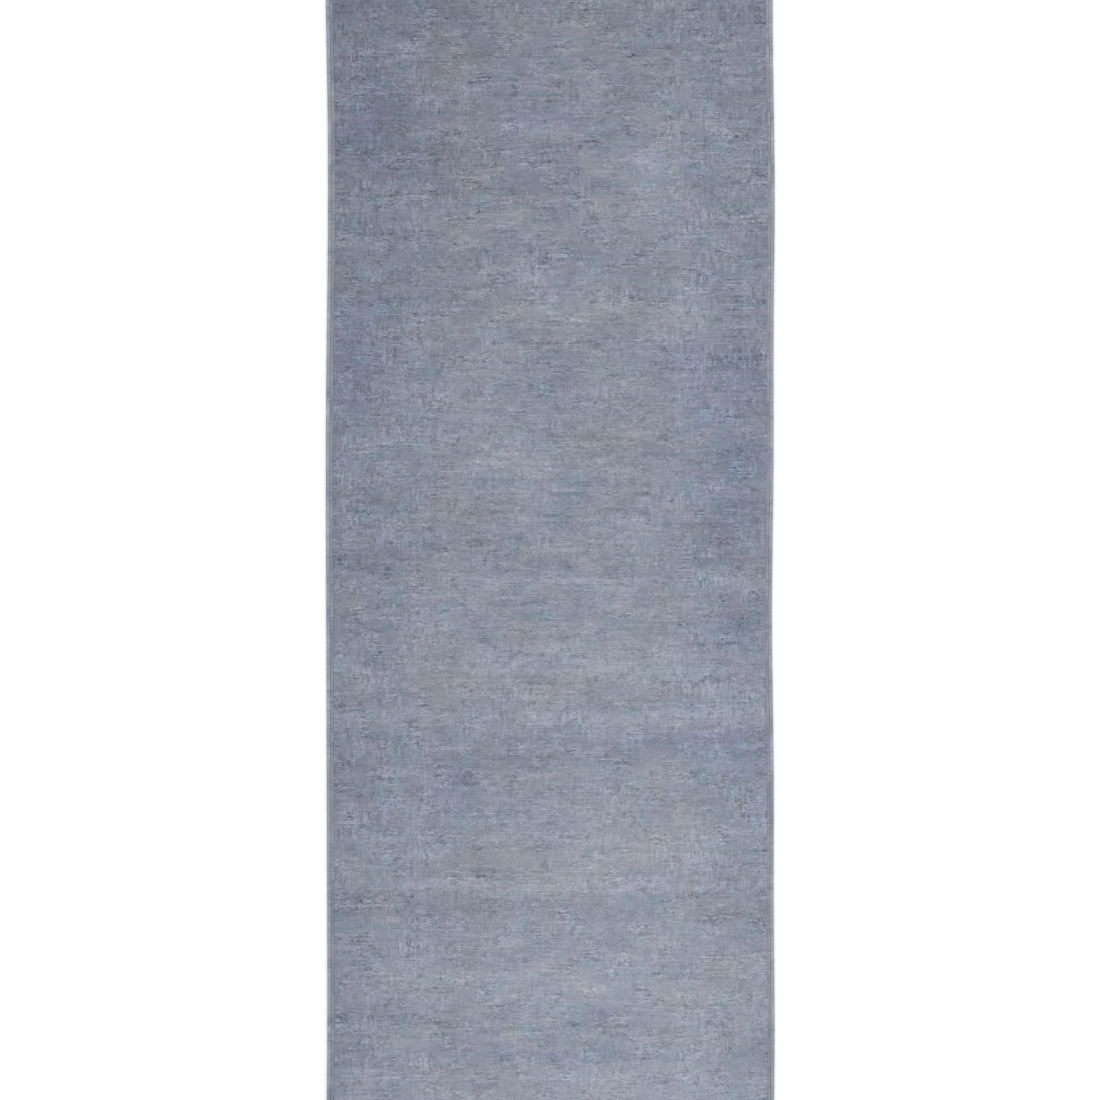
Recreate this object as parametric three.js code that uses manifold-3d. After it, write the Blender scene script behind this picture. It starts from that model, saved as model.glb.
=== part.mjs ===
// A hand-knotted wool runner rug, laid out flat.
//
// Millimetres. The origin is the centre of the underside, on the floor. +X runs across the rug,
// +Y along it to the far end, and +Z up out of the pile. The warps run along Y, from the fringe at
// one end to the fringe at the other. The wefts and the rows of knots run along X.

import * as THREE from 'three';
import { mergeVertices } from 'three/addons/utils/BufferGeometryUtils.js';
import Module from 'manifold-3d';

const wasm = await Module();
wasm.setup();

// ---------------------------------------------------------------- driving dimensions

const RUG_WIDTH = 800;        // over both selvedges
const RUG_LENGTH = 3050;      // over both fringes
const RUG_THICKNESS = 8;      // floor to the sheared top of the pile
const GAP = 0.3;              // clearance that every two touching pieces keep

const FRINGE_LENGTH = 50;     // warp ends past the kilim, knots and tassels together
const KILIM_LENGTH = 25;      // flat-woven strip with no pile, at each end

const FOUNDATION_THICKNESS = 2.4;
const KILIM_THICKNESS = 2.8;

// Design zones of the pile: how far inside the rug's long edges each band ends.
const OUTER_BAND_INSET = 58;
const MAIN_BORDER_INSET = 164;
const INNER_GUARD_INSET = 180;

// Selvedge: two oval cords side by side, each wrapped in wool, the wrap crossing between them.
const CORD_WIDTH = 7.2;       // one cord over its wrap, across the rug
const CORD_HEIGHT = 6;        // one cord over its wrap, floor to top
const CORD_PITCH = 6.8;       // from one cord's centre to the next
const WRAP_THICKNESS = 0.8;
const OVAL_SIDES = 12;

// Fringe: the warps leave the kilim as a flat sheet, gather into knots and hang out as tassels.
const TASSEL_COUNT = 40;
const ROOT_LENGTH = 3;
const ROOT_THICKNESS = 1.6;
const KNOT = { width: 8, length: 10, height: 6.4 };
const TASSEL = { rootWidth: 4.2, tipWidth: 6.4, flatness: 0.6 };
const KNOT_CLEAR_OF_ROOT = 0.3;   // share of a knot's length from the root sheet to its middle
const KNOT_SIDES = 6;
const KNOT_RINGS = 4;

// ---------------------------------------------------------------- sizes worked out from them

const SELVEDGE_WIDTH = CORD_PITCH + CORD_WIDTH;
const WOVEN_LENGTH = RUG_LENGTH - 2 * FRINGE_LENGTH;
const PILE_LENGTH = WOVEN_LENGTH - 2 * KILIM_LENGTH;
const PILE_WIDTH = RUG_WIDTH - 2 * SELVEDGE_WIDTH - 2 * GAP;
const PILE_BOTTOM = FOUNDATION_THICKNESS + GAP;

// ---------------------------------------------------------------- materials

const yarn = (color, roughness) => new THREE.MeshStandardMaterial({ color, roughness, metalness: 0 });

const MATERIALS = {
  foundation: () => yarn(0xa9adb6, 0.95),
  field: () => yarn(0x8b909e, 0.92),
  innerGuard: () => yarn(0x9599a6, 0.92),
  mainBorder: () => yarn(0x868b9b, 0.92),
  outerBand: () => yarn(0x7f8596, 0.92),
  overcasting: () => yarn(0x969aa3, 0.88),
  cordCore: () => yarn(0xc2beb2, 0.95),
  kilim: () => yarn(0x8d93a0, 0.93),
  fringe: () => yarn(0xa4a8b2, 0.95),
};

// ---------------------------------------------------------------- helpers

const rug = new THREE.Group();

function addPiece(name, geometry, material, x = 0, y = 0, z = 0) {
  const mesh = new THREE.Mesh(geometry, material);
  mesh.name = name;
  mesh.position.set(x, y, z);
  rug.add(mesh);
  return mesh;
}

// A slab with its lowest face at height `bottom` and its highest at `top`.
function addSlab(name, material, [x0, x1], [y0, y1], bottom, top) {
  const geometry = new THREE.BoxGeometry(x1 - x0, y1 - y0, top - bottom);
  return addPiece(name, geometry, material, (x0 + x1) / 2, (y0 + y1) / 2, (bottom + top) / 2);
}

// ---------------------------------------------------------------- foundation and kilim ends

// Cotton warps and wefts, woven tight: the cloth that every knot of the pile is tied into.
function addFoundation() {
  const across = [-PILE_WIDTH / 2, PILE_WIDTH / 2];
  const along = [-PILE_LENGTH / 2, PILE_LENGTH / 2];
  addSlab('foundation_cloth', MATERIALS.foundation(), across, along, 0, FOUNDATION_THICKNESS);
}

// The same warps, packed with plain wefts and no knots, which locks the pile in at each end.
function addKilimEnds() {
  const across = [-PILE_WIDTH / 2, PILE_WIDTH / 2];
  const inner = PILE_LENGTH / 2 + GAP;
  const outer = WOVEN_LENGTH / 2;
  addSlab('kilim_end_far', MATERIALS.kilim(), across, [inner, outer], 0, KILIM_THICKNESS);
  addSlab('kilim_end_near', MATERIALS.kilim(), across, [-outer, -inner], 0, KILIM_THICKNESS);
}

// ---------------------------------------------------------------- pile

// Half width and half length of the rectangle that lies `inset` inside the rug's long edges and
// the same way inside the ends of the pile.
function insetHalfSizes(inset) {
  return [RUG_WIDTH / 2 - inset, PILE_LENGTH / 2 - (inset - SELVEDGE_WIDTH)];
}

// One band of the design: two sides that run its full length, and two ends between them.
function addPileBand(name, material, [outerX, outerY], [innerX, innerY]) {
  const sides = [-outerY, outerY];
  const ends = [-innerX + GAP / 2, innerX - GAP / 2];
  const width = [innerX + GAP / 2, outerX - GAP / 2];
  const depth = [innerY + GAP / 2, outerY];
  const flip = ([low, high]) => [-high, -low];
  addSlab(`${name}_left`, material(), flip(width), sides, PILE_BOTTOM, RUG_THICKNESS);
  addSlab(`${name}_right`, material(), width, sides, PILE_BOTTOM, RUG_THICKNESS);
  addSlab(`${name}_far`, material(), ends, depth, PILE_BOTTOM, RUG_THICKNESS);
  addSlab(`${name}_near`, material(), ends, flip(depth), PILE_BOTTOM, RUG_THICKNESS);
}

function addPile() {
  const edge = [PILE_WIDTH / 2, PILE_LENGTH / 2];
  const outerBand = insetHalfSizes(OUTER_BAND_INSET);
  const mainBorder = insetHalfSizes(MAIN_BORDER_INSET);
  const field = insetHalfSizes(INNER_GUARD_INSET);
  const shortened = ([x, y]) => [x, y - GAP / 2];

  addPileBand('pile_outer_band', MATERIALS.outerBand, edge, outerBand);
  addPileBand('pile_main_border', MATERIALS.mainBorder, shortened(outerBand), mainBorder);
  addPileBand('pile_inner_guard', MATERIALS.innerGuard, shortened(mainBorder), field);

  const across = [-field[0] + GAP / 2, field[0] - GAP / 2];
  const along = [-field[1] + GAP / 2, field[1] - GAP / 2];
  addSlab('pile_field', MATERIALS.field(), across, along, PILE_BOTTOM, RUG_THICKNESS);
}

// ---------------------------------------------------------------- selvedges

function ovalPoints(centreX, halfWidth, halfHeight) {
  const corners = Array.from({ length: OVAL_SIDES }, (_, i) => (2 * Math.PI * i) / OVAL_SIDES);
  return corners.map((a) => new THREE.Vector2(
    centreX + halfWidth * Math.cos(a),
    halfHeight * Math.sin(a),
  ));
}

// The outline of two ovals that run into each other at the waist between them.
function doubleOvalPoints() {
  const centre = CORD_PITCH / 2;
  const right = ovalPoints(centre, CORD_WIDTH / 2, CORD_HEIGHT / 2).filter((p) => p.x > 0);
  const upper = right.filter((p) => p.y >= 0);
  const lower = right.filter((p) => p.y < 0);
  const waistHeight = (CORD_HEIGHT / 2) * Math.sqrt(1 - (CORD_PITCH / CORD_WIDTH) ** 2);
  const rightHalf = [new THREE.Vector2(0, -waistHeight), ...lower, ...upper];
  const leftHalf = rightHalf.map((p) => new THREE.Vector2(-p.x, -p.y));
  return [...rightHalf, ...leftHalf];
}

// Extrudes an upright cross-section, drawn in X and Z, along the woven length of the rug.
function extrudeAlongRug(shape) {
  const geometry = new THREE.ExtrudeGeometry(shape, { depth: WOVEN_LENGTH, bevelEnabled: false });
  geometry.rotateX(Math.PI / 2);
  geometry.translate(0, WOVEN_LENGTH / 2, CORD_HEIGHT / 2);
  return geometry;
}

function addSelvedge(side, direction) {
  const middle = direction * (RUG_WIDTH / 2 - SELVEDGE_WIDTH / 2);
  const coreHalfWidth = CORD_WIDTH / 2 - WRAP_THICKNESS - GAP;
  const coreHalfHeight = CORD_HEIGHT / 2 - WRAP_THICKNESS - GAP;

  const overcasting = new THREE.Shape(doubleOvalPoints());
  for (const cord of [-1, 1]) {
    const bore = ovalPoints(cord * CORD_PITCH / 2, coreHalfWidth + GAP, coreHalfHeight + GAP);
    overcasting.holes.push(new THREE.Path(bore));
  }
  addPiece(`selvedge_overcasting_${side}`, extrudeAlongRug(overcasting), MATERIALS.overcasting(), middle);

  for (const [place, cord] of [['outer', direction], ['inner', -direction]]) {
    const core = new THREE.Shape(ovalPoints(cord * CORD_PITCH / 2, coreHalfWidth, coreHalfHeight));
    addPiece(`selvedge_core_${side}_${place}`, extrudeAlongRug(core), MATERIALS.cordCore(), middle);
  }
}

// ---------------------------------------------------------------- fringes

function toSolid(geometry) {
  const bare = geometry.clone();
  bare.deleteAttribute('normal');
  bare.deleteAttribute('uv');
  const merged = mergeVertices(bare, 1e-4);
  return new wasm.Manifold(new wasm.Mesh({
    numProp: 3,
    vertProperties: merged.attributes.position.array,
    triVerts: new Uint32Array(merged.index.array),
  }));
}

function fromSolid(solid) {
  const { vertProperties, triVerts } = solid.getMesh();
  const geometry = new THREE.BufferGeometry();
  geometry.setAttribute('position', new THREE.BufferAttribute(vertProperties, 3));
  geometry.setIndex(new THREE.BufferAttribute(triVerts, 1));
  geometry.computeVertexNormals();
  return geometry;
}

// One bundle of warp ends, gathered at y = 0: its knot, then its tassel out to the fringe's edge.
function tasselParts(x) {
  const knot = new THREE.SphereGeometry(0.5, KNOT_SIDES, KNOT_RINGS);
  knot.rotateY(Math.PI / KNOT_SIDES);
  knot.scale(KNOT.width, KNOT.length, KNOT.height);
  const knotCentre = ROOT_LENGTH + KNOT.length * KNOT_CLEAR_OF_ROOT;
  knot.translate(x, knotCentre, KNOT.height / 2);

  const length = FRINGE_LENGTH - knotCentre;
  const tail = new THREE.CylinderGeometry(TASSEL.tipWidth / 2, TASSEL.rootWidth / 2, length, KNOT_SIDES);
  tail.scale(1, 1, TASSEL.flatness);
  tail.translate(x, knotCentre + length / 2, TASSEL.tipWidth / 2 * TASSEL.flatness);
  return [knot, tail];
}

// The whole fringe as one comb: a thin root sheet of warps that every tassel grows out of.
function fringeGeometry() {
  const root = new THREE.BoxGeometry(PILE_WIDTH, ROOT_LENGTH, ROOT_THICKNESS);
  root.translate(0, ROOT_LENGTH / 2, KILIM_THICKNESS / 2);
  let comb = toSolid(root);
  const pitch = PILE_WIDTH / TASSEL_COUNT;
  for (let i = 0; i < TASSEL_COUNT; i += 1) {
    const x = (i + 0.5) * pitch - PILE_WIDTH / 2;
    for (const piece of tasselParts(x)) {
      comb = comb.add(toSolid(piece));
    }
  }
  return fromSolid(comb);
}

function addFringes() {
  const edge = WOVEN_LENGTH / 2 + GAP;
  const far = fringeGeometry();
  far.scale(1, (FRINGE_LENGTH - GAP) / FRINGE_LENGTH, 1);
  const near = far.clone();
  near.rotateZ(Math.PI);
  addPiece('fringe_far', far, MATERIALS.fringe(), 0, edge);
  addPiece('fringe_near', near, MATERIALS.fringe(), 0, -edge);
}

// ---------------------------------------------------------------- the rug

addFoundation();
addPile();
addSelvedge('left', -1);
addSelvedge('right', 1);
addKilimEnds();
addFringes();

export default rug;
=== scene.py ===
"""A hand-knotted, overdyed wool runner rug, lying flat on a pale floor.

The rug's own frame is the scene's: the origin is the centre of the underside, +X runs across the
rug, +Y along it to the far end, and +Z up out of the pile. Everything is in metres.

The pile is worked out once, as one grid of heights and dye depths over the whole rug, and then cut
into its pieces, so that neighbouring pieces meet knot for knot.
"""

import math

import bpy
import numpy as np
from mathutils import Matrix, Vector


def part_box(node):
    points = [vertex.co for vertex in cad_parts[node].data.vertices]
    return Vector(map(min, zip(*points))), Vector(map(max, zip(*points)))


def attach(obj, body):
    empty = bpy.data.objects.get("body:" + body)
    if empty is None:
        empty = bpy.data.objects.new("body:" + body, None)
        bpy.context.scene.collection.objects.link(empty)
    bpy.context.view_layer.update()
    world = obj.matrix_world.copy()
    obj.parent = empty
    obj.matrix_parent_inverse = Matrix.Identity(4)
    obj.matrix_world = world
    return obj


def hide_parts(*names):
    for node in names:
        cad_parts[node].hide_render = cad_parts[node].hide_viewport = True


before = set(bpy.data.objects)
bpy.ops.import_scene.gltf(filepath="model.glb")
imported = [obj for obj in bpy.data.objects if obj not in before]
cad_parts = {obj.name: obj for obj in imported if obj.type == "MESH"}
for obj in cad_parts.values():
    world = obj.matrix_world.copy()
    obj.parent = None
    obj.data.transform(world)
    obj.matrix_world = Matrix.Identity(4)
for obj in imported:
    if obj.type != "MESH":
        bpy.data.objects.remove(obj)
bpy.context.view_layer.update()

MM = 0.001
TURN = 2 * math.pi
rng = np.random.default_rng(4127)


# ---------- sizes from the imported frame

PILE_BANDS = ["pile_inner_guard", "pile_main_border", "pile_outer_band"]
BAND_SIDES = ["left", "right", "far", "near"]
PILE_NODES = ["pile_field"] + [f"{band}_{side}" for band in PILE_BANDS for side in BAND_SIDES]

HALF_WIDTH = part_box("foundation_cloth")[1].x
HALF_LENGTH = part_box("foundation_cloth")[1].y
FOUNDATION_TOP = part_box("foundation_cloth")[1].z
PILE_BOTTOM, PILE_TOP = (corner.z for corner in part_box("pile_field"))
RUG_HALF_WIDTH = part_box("selvedge_overcasting_right")[1].x
WOVEN_HALF_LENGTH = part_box("selvedge_overcasting_right")[1].y
FRINGE_START, FRINGE_TIP = (corner.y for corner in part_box("fringe_far"))


def band_limit(inner, outer):
    """Where two bands of the design meet: half way across the gap that the frame keeps."""
    return (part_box(inner)[1].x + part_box(outer)[0].x) / 2


FRAME_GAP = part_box("pile_inner_guard_right")[0].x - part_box("pile_field")[1].x
FIELD_X = band_limit("pile_field", "pile_inner_guard_right")
GUARD_X = band_limit("pile_inner_guard_right", "pile_main_border_right")
BORDER_X = band_limit("pile_main_border_right", "pile_outer_band_right")


# ---------- numbers drawn at random

NOISE_WIDTH, NOISE_LENGTH = 1.2, 4.0     # the noise covers the rug, and some room round it


def smooth_noise(x, y, size_x, size_y, layers):
    """Seeded noise over the rug, in blots of about size_x by size_y. Its mean is 0.

    Each further layer is half as big as the one before, and a little weaker.
    """
    total, weight, power = np.zeros(x.shape), 1.0, 0.0
    for _ in range(layers):
        table = rng.standard_normal((int(NOISE_LENGTH / size_y) + 4, int(NOISE_WIDTH / size_x) + 4))
        across, along = (x + NOISE_WIDTH / 2) / size_x, (y + NOISE_LENGTH / 2) / size_y
        i, j = np.floor(across).astype(int), np.floor(along).astype(int)
        u, v = soft_step(across - i, 0, 1), soft_step(along - j, 0, 1)
        near = table[j, i] * (1 - u) + table[j, i + 1] * u
        far = table[j + 1, i] * (1 - u) + table[j + 1, i + 1] * u
        total += weight * (near * (1 - v) + far * v)
        power += weight * weight
        weight, size_x, size_y = weight * 0.6, size_x / 2, size_y / 2
    return total / math.sqrt(power)


def soft_step(value, start, end):
    """0 up to the start, 1 from the end on, and smooth in between."""
    share = np.clip((value - start) / (end - start), 0, 1)
    return share * share * (3 - 2 * share)


def bell(value, middle, width):
    """1 at the middle, falling to nothing a couple of widths away."""
    return np.exp(-(((value - middle) / width) ** 2))


# ---------- how the rug lies

RIPPLE = 1.0 * MM     # how far the cloth lifts off the floor at most
# The waves in each long edge: how far one reaches, its radians a metre, and where it starts.
EDGE_WAVES = {
    "left": [(2.2 * MM, 5.5, -1.3), (1.4 * MM, 7.0, 2.4)],
    "right": [(1.7 * MM, 4.75, -1.1), (0.8 * MM, 12.2, -0.1)],
}


def edge_wander(side, y):
    """How far a long edge has strayed to the right of straight."""
    return sum(reach * np.sin(rate * y + start) for reach, rate, start in EDGE_WAVES[side])


def lie_down(points):
    """Moves points from the drawing of the rug to where the cloth really lies.

    A hand-woven edge is never quite straight, and the cloth doesn't touch the floor all over.
    """
    x, y, z = points[..., 0], points[..., 1], points[..., 2]
    share = 0.5 + x / (2 * RUG_HALF_WIDTH)
    wander = edge_wander("left", y) * (1 - share) + edge_wander("right", y) * share
    lift = 0.5 + 0.25 * np.sin(3.7 * y + 2.1 * x) + 0.25 * np.sin(8.3 * y - 5.0 * x + 1.3)
    lift = RIPPLE * lift * soft_step(np.abs(y), WOVEN_HALF_LENGTH, HALF_LENGTH * 0.8)
    return np.stack([x + wander, y, z + lift], axis=-1)


# ---------- meshes

def add_piece(name, points, faces, material, slot, node, smooth_faces=None, normals=None, **values):
    """Makes a piece of the rug: it rides with the frame's only body and stands for its CAD node.

    The first smooth_faces of the faces are shaded smooth (all of them, if it isn't given), with the
    points' own normals if those are given. Each of values is one number or one vector for every
    point, kept on the mesh by that name.
    """
    mesh = bpy.data.meshes.new(name)
    mesh.from_pydata(lie_down(points), [], faces)
    smooth = np.arange(len(faces)) < (len(faces) if smooth_faces is None else smooth_faces)
    mesh.polygons.foreach_set("use_smooth", smooth)
    for title, numbers in values.items():
        kind, field = ("FLOAT", "value") if numbers.ndim == 1 else ("FLOAT_VECTOR", "vector")
        attribute = mesh.attributes.new(title, kind, "POINT")
        attribute.data.foreach_set(field, numbers.astype(np.float32).ravel())
    mesh.materials.append(material)
    mesh.update()
    if normals is not None:
        corners = np.zeros(len(mesh.loops), dtype=np.int32)
        mesh.loops.foreach_get("vertex_index", corners)
        on_top = corners[:4 * smooth_faces]
        corner_normals = np.zeros((len(corners), 3))
        corner_normals[:len(on_top)] = normals[on_top]
        mesh.normals_split_custom_set(corner_normals)
    piece = bpy.data.objects.new(name, mesh)
    bpy.context.scene.collection.objects.link(piece)
    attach(piece, "root")
    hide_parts(node)
    return piece


def with_walls(values):
    """Values for every point of a slab: those of its grid, then those of its two side walls."""
    return np.concatenate([values.reshape(-1, *values.shape[2:]), values[:, 0], values[:, -1]])


def slab_mesh(grid, plain_z):
    """A closed slab: one side is the grid of points, and the other is plain and lies at plain_z.

    The grid is [along the rug][across it]. It returns the points, the faces (the grid's own come
    first) and how many of the faces are the grid's own.
    """
    rows, columns = grid.shape[:2]
    top = np.arange(rows * columns).reshape(rows, columns)
    left = rows * columns + np.arange(rows)
    right = left + rows
    points = with_walls(grid)
    points[rows * columns:, 2] = plain_z

    own = np.stack([top[:-1, :-1], top[:-1, 1:], top[1:, 1:], top[1:, :-1]], -1).reshape(-1, 4)
    closing = np.concatenate([
        np.stack([top[:-1, 0], top[1:, 0], left[1:], left[:-1]], -1),
        np.stack([top[1:, -1], top[:-1, -1], right[:-1], right[1:]], -1),
        np.stack([left[:-1], left[1:], right[1:], right[:-1]], -1),
    ])
    near_end = [left[0], right[0], *top[0, ::-1]]
    far_end = [right[-1], left[-1], *top[-1]]
    ends = [[int(i) for i in near_end], [int(i) for i in far_end]]
    faces = [*own.tolist(), *closing.tolist(), *ends]
    if plain_z > grid[..., 2].mean():
        faces = [face[::-1] for face in faces]
    return points, faces, len(own)


def sheet_mesh(top, bottom):
    """A closed sheet between two grids of the same size, the first above the second."""
    rows, columns = top.shape[:2]
    t = np.arange(rows * columns).reshape(rows, columns)
    b = t + rows * columns
    quads = np.concatenate([
        np.stack([t[:-1, :-1], t[:-1, 1:], t[1:, 1:], t[1:, :-1]], -1).reshape(-1, 4),
        np.stack([b[:-1, :-1], b[1:, :-1], b[1:, 1:], b[:-1, 1:]], -1).reshape(-1, 4),
        np.stack([t[:-1, 0], t[1:, 0], b[1:, 0], b[:-1, 0]], -1),
        np.stack([t[1:, -1], t[:-1, -1], b[:-1, -1], b[1:, -1]], -1),
        np.stack([t[0, 1:], t[0, :-1], b[0, :-1], b[0, 1:]], -1),
        np.stack([t[-1, :-1], t[-1, 1:], b[-1, 1:], b[-1, :-1]], -1),
    ])
    return np.concatenate([top.reshape(-1, 3), bottom.reshape(-1, 3)]), quads.tolist()


def ring_faces(ring):
    """Faces between rings of points that follow each other.

    Each ring goes round anticlockwise, as seen by somebody whom the tube comes towards.
    """
    turned = np.roll(ring, -1, axis=1)
    return np.stack([ring[:-1], turned[:-1], turned[1:], ring[1:]], -1).reshape(-1, 4)


def tube_faces(rings, sides, start=0):
    """Faces of a tube that is closed at both ends."""
    ring = start + np.arange(rings * sides).reshape(rings, sides)
    return [*ring_faces(ring).tolist(), ring[0, ::-1].tolist(), ring[-1].tolist()]


def sleeve_faces(rings, inner_rings, sides, start):
    """Faces of a hollow, open-ended tube: its outer rings of points come first, then its inner."""
    outer = start + np.arange(rings * sides).reshape(rings, sides)
    inner = start + rings * sides + np.arange(inner_rings * sides).reshape(inner_rings, sides)

    def rim(a, b):
        return np.stack([a, b, np.roll(b, -1), np.roll(a, -1)], -1)

    return np.concatenate([
        ring_faces(outer),
        ring_faces(inner)[:, ::-1],
        rim(outer[0], inner[0]),
        rim(inner[-1], outer[-1]),
    ]).tolist()


def turned_over(faces, mirrored):
    """The faces as they are, or wound the other way for a piece that is drawn mirrored."""
    return [face[::-1] for face in faces] if mirrored else faces


def lines_between(stops, spacing):
    """Places from the first stop to the last, about the spacing apart, that fall on every stop."""
    runs = []
    for start, end in zip(stops[:-1], stops[1:], strict=True):
        runs.append(np.linspace(start, end, max(2, round((end - start) / spacing)) + 1)[:-1])
    return np.concatenate([*runs, [stops[-1]]])


# ---------- shader nodes

# What nodes that do the same job have in common.
MULTIPLY = {"kind": "ShaderNodeMath", "operation": "MULTIPLY"}
MULTIPLY_ADD = {"kind": "ShaderNodeMath", "operation": "MULTIPLY_ADD"}
SCALE_PLACE = {"kind": "ShaderNodeVectorMath", "operation": "MULTIPLY"}
COLOUR_MIX = {"kind": "ShaderNodeMix", "output": "Result", "data_type": "RGBA"}
SOFT_LUMPS = {"kind": "ShaderNodeTexNoise", "output": "Fac"}
SOFT_BLOTS = {**SOFT_LUMPS, "noise_dimensions": "2D"}
CRISP_CELLS = {"kind": "ShaderNodeTexVoronoi", "output": "Color", "voronoi_dimensions": "2D",
               "distance": "CHEBYCHEV"}
# Nearly all values of soft blots lie in here.
BLOT_RANGE = {"From Min": 0.34, "From Max": 0.66}


def srgb(code):
    """An sRGB hex colour, turned to linear, with full alpha."""
    channels = [int(code[i:i + 2], 16) / 255 for i in (1, 3, 5)]
    return (*[c / 12.92 if c <= 0.04045 else ((c + 0.055) / 1.055) ** 2.4 for c in channels], 1.0)


def new_material(name, values):
    """A material, its tree and its shader, with the given values set on the shader's own sockets."""
    material = bpy.data.materials.new(name)
    material.use_nodes = True
    shader = material.node_tree.nodes["Principled BSDF"]
    for socket, value in values.items():
        shader.inputs[socket].default_value = value
    return material, material.node_tree, shader


def add_node(tree, kind, output=0, inputs=None, **settings):
    """Adds a node and returns one of its outputs.

    Each input is a value, or the output of another node to link from.
    """
    node = tree.nodes.new(kind)
    for name, value in settings.items():
        setattr(node, name, value)
    for key, value in (inputs or {}).items():
        if isinstance(value, bpy.types.NodeSocket):
            tree.links.new(value, node.inputs[key])
        else:
            node.inputs[key].default_value = value
    return node.outputs[output]


def pattern(tree, place, across, along, up=1.0, detail=0.0, roughness=0.5, **texture):
    """Lays a texture over a place so that one repeat of it has the given real size."""
    spot = add_node(tree, **SCALE_PLACE, inputs={0: place, 1: (1 / across, 1 / along, 1 / up)})
    return add_node(tree, **texture, inputs={
        "Vector": spot, "Scale": 1.0, "Detail": detail, "Roughness": roughness})


def weighted_sum(tree, terms, start=0.0):
    """Adds up unevenness, each one centred on the given middle and times its own weight.

    A weight may be the output of another node if the middle is 0.
    """
    total = start - sum(middle * weight for _, middle, weight in terms if middle)
    for socket, _, weight in terms:
        total = add_node(tree, **MULTIPLY_ADD, inputs={0: socket, 1: weight, 2: total})
    return total


# Spun fibre, wool or cotton: hardly any gloss, and a pale fuzz that shows against the light.
FIBRE = {
    "Metallic": 0.0,
    "IOR": 1.54,
    "Specular IOR Level": 0.3,
    "Sheen Roughness": 0.45,
    "Sheen Tint": srgb("#ccd1da"),
}


# ---------- wool pile

ROW_PITCH = 3.0 * MM      # from one row of knots to the next, along the rug
KNOT_PITCH = 3.0 * MM     # from one knot to the next, across the rug
TUFT_SPREAD = 1.8 * MM    # how far a tuft's end may stray, from one side to the other
FAR_APART = 7.31          # from one row, strand or column to the next, when they are set apart
ONE_ROW = 1.0             # a pattern's size across them then: too little for it to reach the next


def knotted_places(tree):
    """Each point's place on the rug, and the places of the knot, row, strand and column it is in.

    Rows, strands and columns are also set far apart, so that a pattern's dashes in one of them are
    never like those of its neighbours.
    """
    point = add_node(tree, "ShaderNodeAttribute", output="Vector", attribute_name="knot_place")
    # The tufts' ends spread unevenly, so that a knot's outline isn't square.
    spread = pattern(tree, point, 4 * MM, 3.5 * MM, detail=1.0, **{**SOFT_BLOTS, "output": "Color"})
    point = add_node(tree, "ShaderNodeVectorMath", operation="MULTIPLY_ADD",
                     inputs={0: spread, 1: (TUFT_SPREAD, TUFT_SPREAD, 0.0), 2: point})

    counted = add_node(tree, **SCALE_PLACE, inputs={0: point, 1: (1 / KNOT_PITCH, 1 / ROW_PITCH, 1.0)})
    number = add_node(tree, "ShaderNodeVectorMath", operation="FLOOR", inputs={0: counted})
    knot = add_node(tree, **SCALE_PLACE, inputs={0: number, 1: (KNOT_PITCH, ROW_PITCH, 1.0)})
    row = add_node(tree, **SCALE_PLACE, inputs={0: knot, 1: (1.0, FAR_APART / ROW_PITCH, 1.0)})
    column = add_node(tree, **SCALE_PLACE, inputs={0: knot, 1: (FAR_APART / KNOT_PITCH, 1.0, 1.0)})
    # A row's knots are two strands deep, and the shortest streaks are in single strands.
    strand = add_node(tree, "ShaderNodeVectorMath", operation="SNAP",
                      inputs={0: point, 1: (KNOT_PITCH / 2, ROW_PITCH / 2, 1.0)})
    strand = add_node(tree, **SCALE_PLACE, inputs={0: strand, 1: (1.0, 2 * FAR_APART / ROW_PITCH, 1.0)})
    return {"point": point, "counted": counted, "number": number, "knot": knot,
            "row": row, "strand": strand, "column": column}


def wool_marks(tree, at):
    """The marks of single rows, strands, knots and tufts, each from about 0 to 1."""
    chance = add_node(tree, "ShaderNodeTexWhiteNoise", output="Color", noise_dimensions="2D",
                      inputs={"Vector": at["number"]})
    return {
        "dashes": pattern(tree, at["row"], 15 * MM, ONE_ROW, **CRISP_CELLS),
        "long_dashes": pattern(tree, at["row"], 52 * MM, ONE_ROW, **CRISP_CELLS),
        "strand_runs": pattern(tree, at["strand"], 36 * MM, ONE_ROW, **CRISP_CELLS),
        "knots": add_node(tree, "ShaderNodeSeparateColor", output="Red", inputs={0: chance}),
        "tufts": add_node(tree, "ShaderNodeTexVoronoi", output="Distance", voronoi_dimensions="2D",
                          inputs={"Vector": at["counted"], "Scale": 1.0, "Randomness": 0.7}),
    }


def curling_outline(tree, place, size, width):
    """Thin curling lines, one or two knots wide, where soft blots cross their middle."""
    off = pattern(tree, place, size, size, detail=1.0, **SOFT_BLOTS)
    off = add_node(tree, "ShaderNodeMath", operation="SUBTRACT", inputs={0: off, 1: 0.5})
    off = add_node(tree, "ShaderNodeMath", operation="ABSOLUTE", inputs={0: off})
    return add_node(tree, "ShaderNodeMapRange", inputs={
        "Value": off, "From Max": width, "To Min": 1.0, "To Max": 0.0})


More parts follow.
